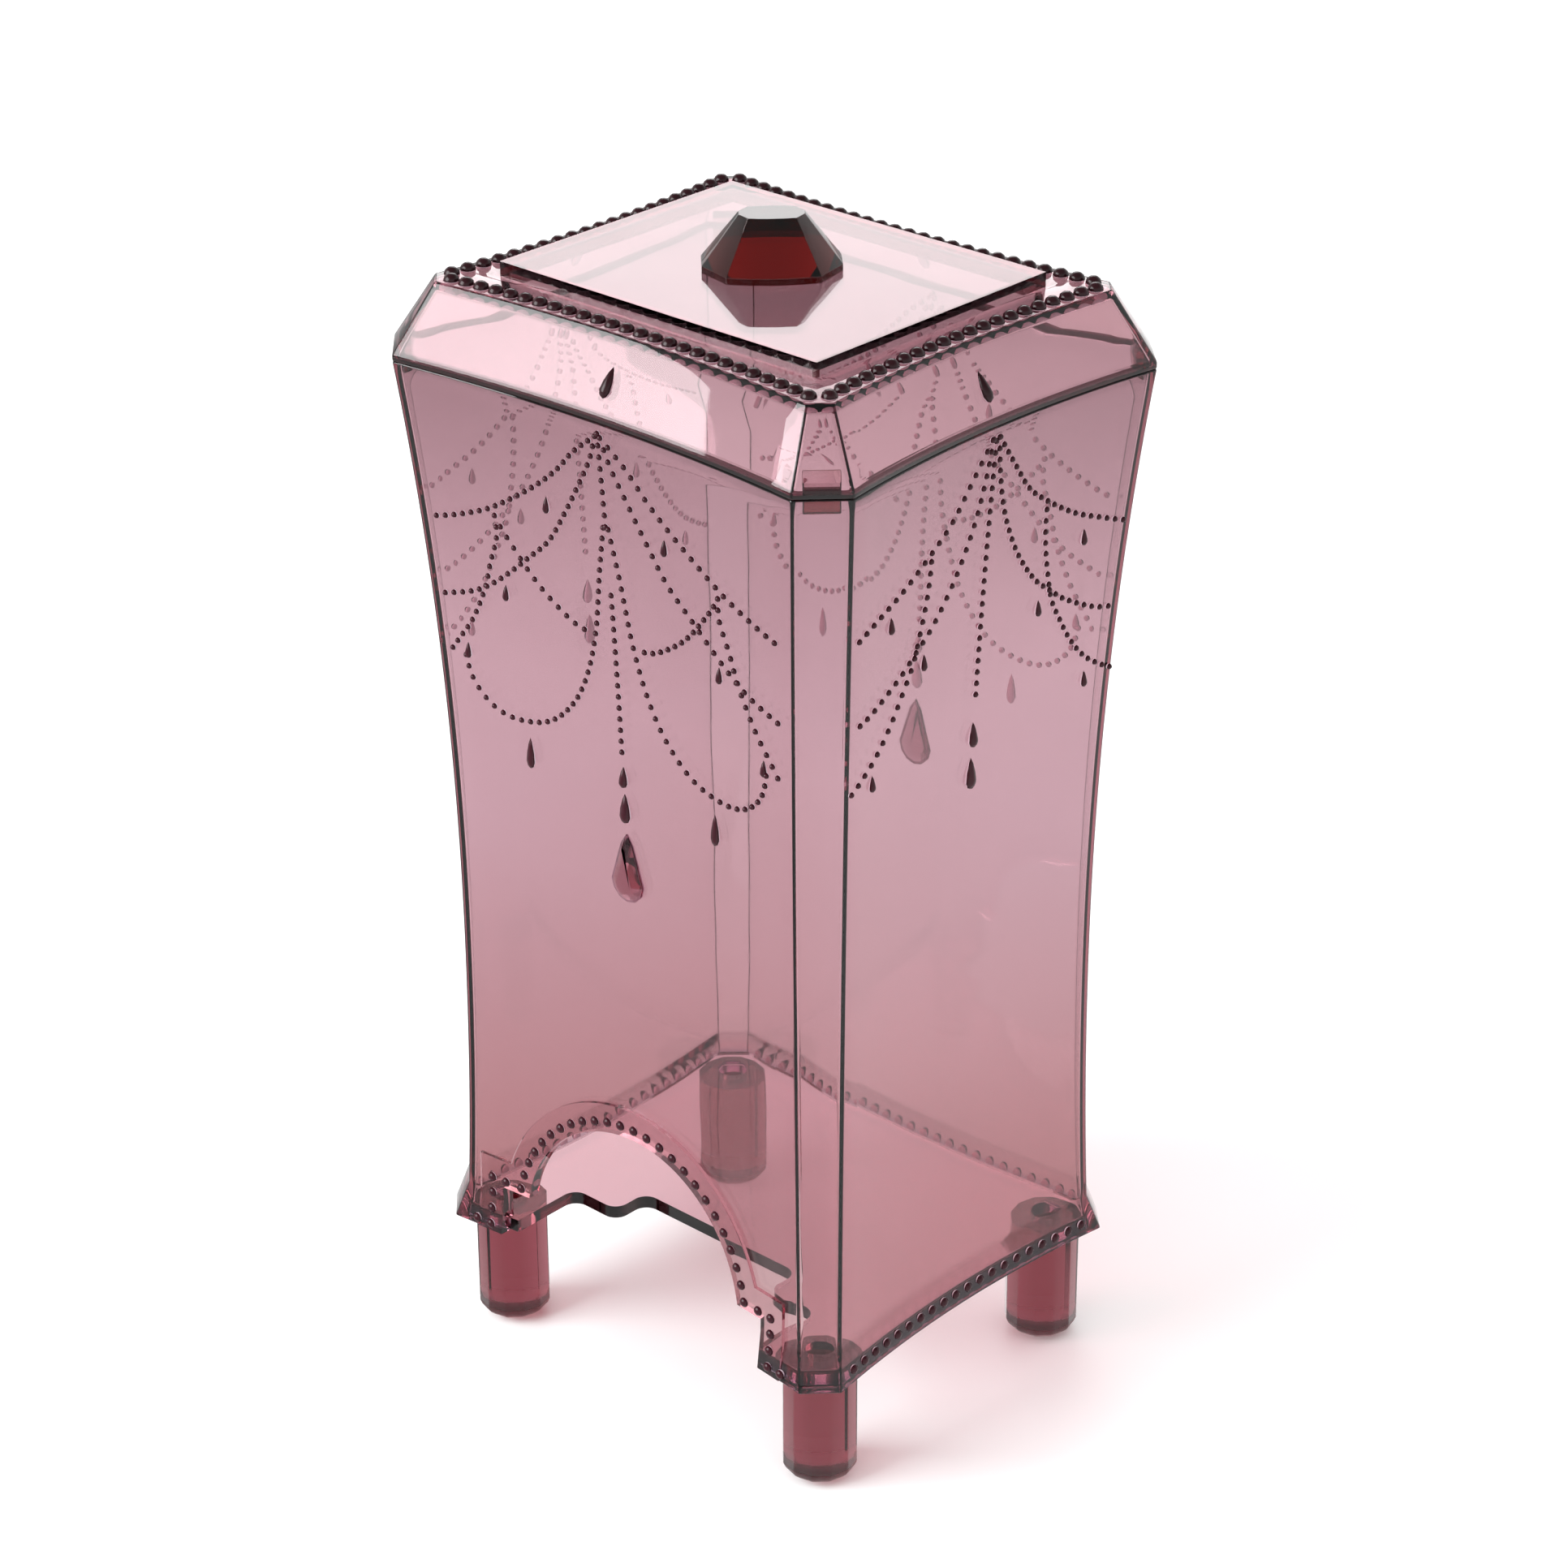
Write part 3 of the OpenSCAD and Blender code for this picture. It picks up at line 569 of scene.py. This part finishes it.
lid = tube([lid_level(share, WALL) for share in (0.84, 0.4, 0)] +
           [lid_level(0, WALL, LID_EDGE), lid_level(0, 0, LID_EDGE)] +
           [lid_level(share) for share in (0, 0.25, 0.5, 0.75, 1)])
bmesh.ops.holes_fill(lid, edges=lid.edges)
soften(lid, 0.3)
panel = box(-PANEL_X, PANEL_X, -PANEL_Y, PANEL_Y, PANEL_FOOT, PANEL_TOP)
lid = combine(lid, panel, "UNION")
inside_x, inside_y = PANEL_X - WALL, PANEL_Y - WALL
hollow = box(-inside_x, inside_x, -inside_y, inside_y, PANEL_HOLLOW, PANEL_TOP - PANEL_SKIN)
lid = combine(lid, hollow, "DIFFERENCE")
for way in ((1, -1), (1, 1), (-1, 1), (-1, -1)):
    # Middle of the tab, behind the corner flat and clear of the inside of the body
    across = (HALF_WIDTH + HALF_DEPTH - RIM_CORNER) / 2 - TAB_BEHIND / math.sqrt(2)
    aside = (HALF_WIDTH - HALF_DEPTH) / 2
    place = Matrix.Translation((way[0] * (across + aside), way[1] * (across - aside), TAB_MIDDLE))
    place @= Matrix.Rotation(math.atan2(way[1], way[0]), 4, "Z")
    tab = bmesh.new()
    bmesh.ops.create_cube(tab, size=1, matrix=place @ Matrix.Diagonal((*TAB_SIZE, 1)))
    lid = combine(lid, soften(tab, 0.2, 30, 2), "UNION")
mark_corner_edges(lid)
piece("lid_moulding", lid, "lid", [lid_plastic, painted_shade_edge_plastic], ["lid_shell"])

# Beading of the lid
# Rows of round beads along the top edge of the lid, which almost touch, and a drop in the middle
# of each slope. They are raised on the moulding.

LID_TOP = LID_BASE + LID_RISE
# Radius of the beads, half their height, and how far in from the edge the rows lie
LID_BEAD, LID_BEAD_RISE, ROW_IN = 1.2, 1.05, 2.1
# The long and the short rows as a number of beads and half the length
LONG_ROW, SHORT_ROW = (26, 34.1), (21, 27.95)
# The drops on the slopes: height above the shelf, width and length
SLOPE_DROP, SLOPE_DROP_WIDTH, SLOPE_DROP_LENGTH = 168.3, 1.9, 4.7
# Opaque glossy plastic, a shade darker than the beading of the walls
lid_bead_dark = gloss("near_black_garnet_beading", "#1c050b", "#2a0910", 0.2, 300.0)
lid_beading = bmesh.new()
pull = LID_RUN + ROW_IN
edge = (LID_TOP, HALF_WIDTH - pull, HALF_DEPTH - pull, LID_CORNER, 0.0)
up = Vector((0, 0, 1))
for side in (-1, 1):
    part = bmesh.new()
    count, half = LONG_ROW
    for i in range(count):
        x = half * (2 * i / (count - 1) - 1)
        bead(part, Vector((x, side * front_at(edge, x), LID_TOP)), up, LID_BEAD, LID_BEAD_RISE)
    count, half = SHORT_ROW
    for i in range(count):
        y = half * (2 * i / (count - 1) - 1)
        bead(part, Vector((side * side_at(edge, y), y, LID_TOP)), up, LID_BEAD, LID_BEAD_RISE)
    gather(lid_beading, part)
part = bmesh.new()
level = lid_level((SLOPE_DROP - LID_BASE) / LID_RISE)
for wall in range(4):
    turn = Matrix.Rotation(math.pi * (wall > 1), 3, "Z")
    if wall % 2 == 0:
        point, way = (0, -front_at(level, 0), SLOPE_DROP), (0, -LID_RISE, LID_RUN)
    else:
        point, way = (side_at(level, 0), 0, SLOPE_DROP), (LID_RISE, 0, LID_RUN)
    bead(part, turn @ Vector(point), turn @ Vector(way).normalized(), SLOPE_DROP_WIDTH / 2, 0.8,
         SLOPE_DROP_LENGTH)
gather(lid_beading, part)
piece("lid_beading", lid_beading, "lid", [lid_bead_dark, bead_back], sharp=60.0)

# Knob
# A solid garnet-red plastic knob cut like a gem, long ways across a diagonal of the lid, and
# glued into the panel.

KNOB_FOOT, KNOB_TOP = 176.32, 184.3
# Where the upright and the sloping facets meet, above the panel, and the run and rise of a slope
GIRDLE, CROWN_RUN, CROWN_RISE = 1.0, 5.3, 7
# The ends: a facet across, and two that turn away from it
END_REACH, END_TURN, END_TURN_REACH = 9.95, 33.4, 9.6
# The long sides: half the width, how far past the middle the axis of their bow lies, and the turn
# from one of their flats to the next
SIDE_REACH, BOW_AXIS, SIDE_TURN = 8.2, 18.4, 2.6
# A block to cut the facets on, which is turned and set on the panel afterwards
knob = box(-20, 20, -20, 20, KNOB_FOOT - PANEL_TOP, KNOB_TOP - PANEL_TOP)


def facet(bm, angle, distance):
    """Cuts the upright and the sloping facet that face one way."""
    flat = Vector((math.cos(angle), math.sin(angle), 0))
    slope = (flat * CROWN_RISE + Vector((0, 0, CROWN_RUN))).normalized()
    girdle = flat * distance + Vector((0, 0, GIRDLE))
    for point, normal in ((girdle, flat), (girdle, slope)):
        cut = bmesh.ops.bisect_plane(bm, geom=bm.verts[:] + bm.edges[:] + bm.faces[:], dist=1e-5,
                                     plane_co=point, plane_no=normal, clear_outer=True)
        edges = [g for g in cut["geom_cut"] if isinstance(g, bmesh.types.BMEdge)]
        if edges:
            bmesh.ops.contextual_create(bm, geom=edges)


for end in (0, math.pi):
    facet(knob, end, END_REACH)
    for lean in (-END_TURN, END_TURN):
        facet(knob, end + math.radians(lean), END_TURN_REACH)
    for i in range(-6, 7):
        lean = math.radians(i * SIDE_TURN)
        facet(knob, end + math.pi / 2 + lean, SIDE_REACH + BOW_AXIS * (1 - math.cos(lean)))
soften(knob, 0.14, 12, 2)
place = Matrix.Translation((0, 0, PANEL_TOP)) @ Matrix.Rotation(math.pi / 4, 4, "Z")
bmesh.ops.transform(knob, matrix=place, verts=knob.verts)
# Clear garnet styrene, so deep that only the thin places glow red
knob_plastic = clear_plastic("garnet_gem_plastic", "#ce5027", 610.0, 0.015, "#7a2a28")
piece("knob_gem", knob, "lid", [knob_plastic], ["gem_knob"], 10.0)

# Floor of the studio, white surroundings, soft boxes and camera
# Not part of the object: a plain pale floor, a bright surround that is dimmer overhead, one
# large soft box behind to the left and one in front to the left.
floor = bmesh.new()
bmesh.ops.create_grid(floor, x_segments=1, y_segments=1, size=4)
floor_mesh = bpy.data.meshes.new("studio_floor")
floor.to_mesh(floor_mesh)
floor.free()
studio_floor = bpy.data.objects.new("studio_floor", floor_mesh)
studio_floor.location.z = -0.0002
scene.collection.objects.link(studio_floor)
# Matt white paper: pale enough that the shadow is the only thing that shows on it
floor_paint = bpy.data.materials.new("matt_white_paper")
floor_paint.use_nodes = True
tree = floor_paint.node_tree
tree.nodes.clear()
paper = add(tree, "ShaderNodeBsdfPrincipled", {"Base Color": rgb("#fbfbfb"), "Roughness": 0.9})
path = add(tree, "ShaderNodeLightPath")
bent = add(tree, "ShaderNodeMath", {0: path.outputs["Is Glossy Ray"],
           1: path.outputs["Is Transmission Ray"]}, operation="MAXIMUM")
bent = add(tree, "ShaderNodeMath", {0: bent.outputs[0], 1: 0.6}, operation="MULTIPLY")
# Painted shade: the paper's white glow, as the plastic mirrors it, is dimmer in front and to the left
place = add(tree, "ShaderNodeSeparateXYZ", {0: add(tree, "ShaderNodeTexCoord").outputs["Object"]})
place = add(tree, "ShaderNodeMath", {0: place.outputs["X"], 1: place.outputs["Y"]}, operation="ADD")
paper_glow_painted_shade = add(tree, "ShaderNodeMapRange", {"Value": place.outputs[0], "From Min": -0.14,
          "From Max": 0.0, "To Min": 0.0, "To Max": 1.0})
paper_glow_painted_shade = add(tree, "ShaderNodeMath", {0: paper_glow_painted_shade.outputs["Result"], 1: path.outputs["Is Transmission Ray"]},
          operation="MAXIMUM")
white = add(tree, "ShaderNodeEmission", {"Color": (1, 1, 1, 1), "Strength": paper_glow_painted_shade.outputs[0]})
mixed = add(tree, "ShaderNodeMixShader", {0: bent.outputs[0], 1: paper.outputs[0],
            2: white.outputs[0]})
add(tree, "ShaderNodeOutputMaterial", {"Surface": mixed.outputs[0]})
floor_mesh.materials.append(floor_paint)

# White all round, and dimmer overhead in what the plastic mirrors and bends
world = bpy.data.worlds.new("surround")
world.use_nodes = True
scene.world = world
tree = world.node_tree
tree.nodes.clear()
upward = add(tree, "ShaderNodeSeparateXYZ", {0: add(tree, "ShaderNodeTexCoord").outputs["Generated"]})
dim = add(tree, "ShaderNodeMapRange", {"Value": upward.outputs["Z"], "From Min": 0.35,
          "From Max": 0.8, "To Min": 1.0, "To Max": 0.3})
path = add(tree, "ShaderNodeLightPath")
bent = add(tree, "ShaderNodeMath", {0: path.outputs["Is Glossy Ray"],
           1: path.outputs["Is Transmission Ray"]}, operation="MAXIMUM")
level = add(tree, "ShaderNodeMix", {0: bent.outputs[0], 2: 1.0, 3: dim.outputs["Result"]})
add(tree, "ShaderNodeOutputWorld", {0: add(tree, "ShaderNodeBackground",
    {"Color": (1, 1, 1, 1), "Strength": level.outputs[0]}).outputs[0]})


def soft_box(name, way, size, radiance, away=0.8):
    """Square soft box that faces the lid from a direction."""
    lamp = bpy.data.lights.new(name, "AREA")
    lamp.shape = "SQUARE"
    lamp.size = size
    lamp.energy = radiance * math.pi * size ** 2
    obj = bpy.data.objects.new(name, lamp)
    way = Vector(way).normalized()
    obj.location = Vector((0, 0, 0.17)) + way * away
    obj.rotation_mode = "QUATERNION"
    obj.rotation_quaternion = way.to_track_quat("Z", "Y")
    scene.collection.objects.link(obj)


soft_box("soft_box_behind", (-0.607, 0.658, 0.446), 0.42, 2.5)
soft_box("soft_box_front", (-0.402, -0.833, 0.381), 0.62, 7.5)

# A long lens at the photograph's viewing angle, above the front right corner
camera = bpy.data.cameras.new("camera")
camera.lens = 96.52
camera.sensor_width = 36
camera.shift_x = 0.0071
view = bpy.data.objects.new("camera", camera)
view.matrix_world = Matrix(((0.73606, -0.29890, 0.60735, 0.381886),
                            (0.67690, 0.33074, -0.65759, -0.413765),
                            (-0.00432, 0.89514, 0.44577, 0.375179),
                            (0, 0, 0, 1)))
scene.collection.objects.link(view)
scene.camera = view
scene.view_settings.view_transform = "Standard"
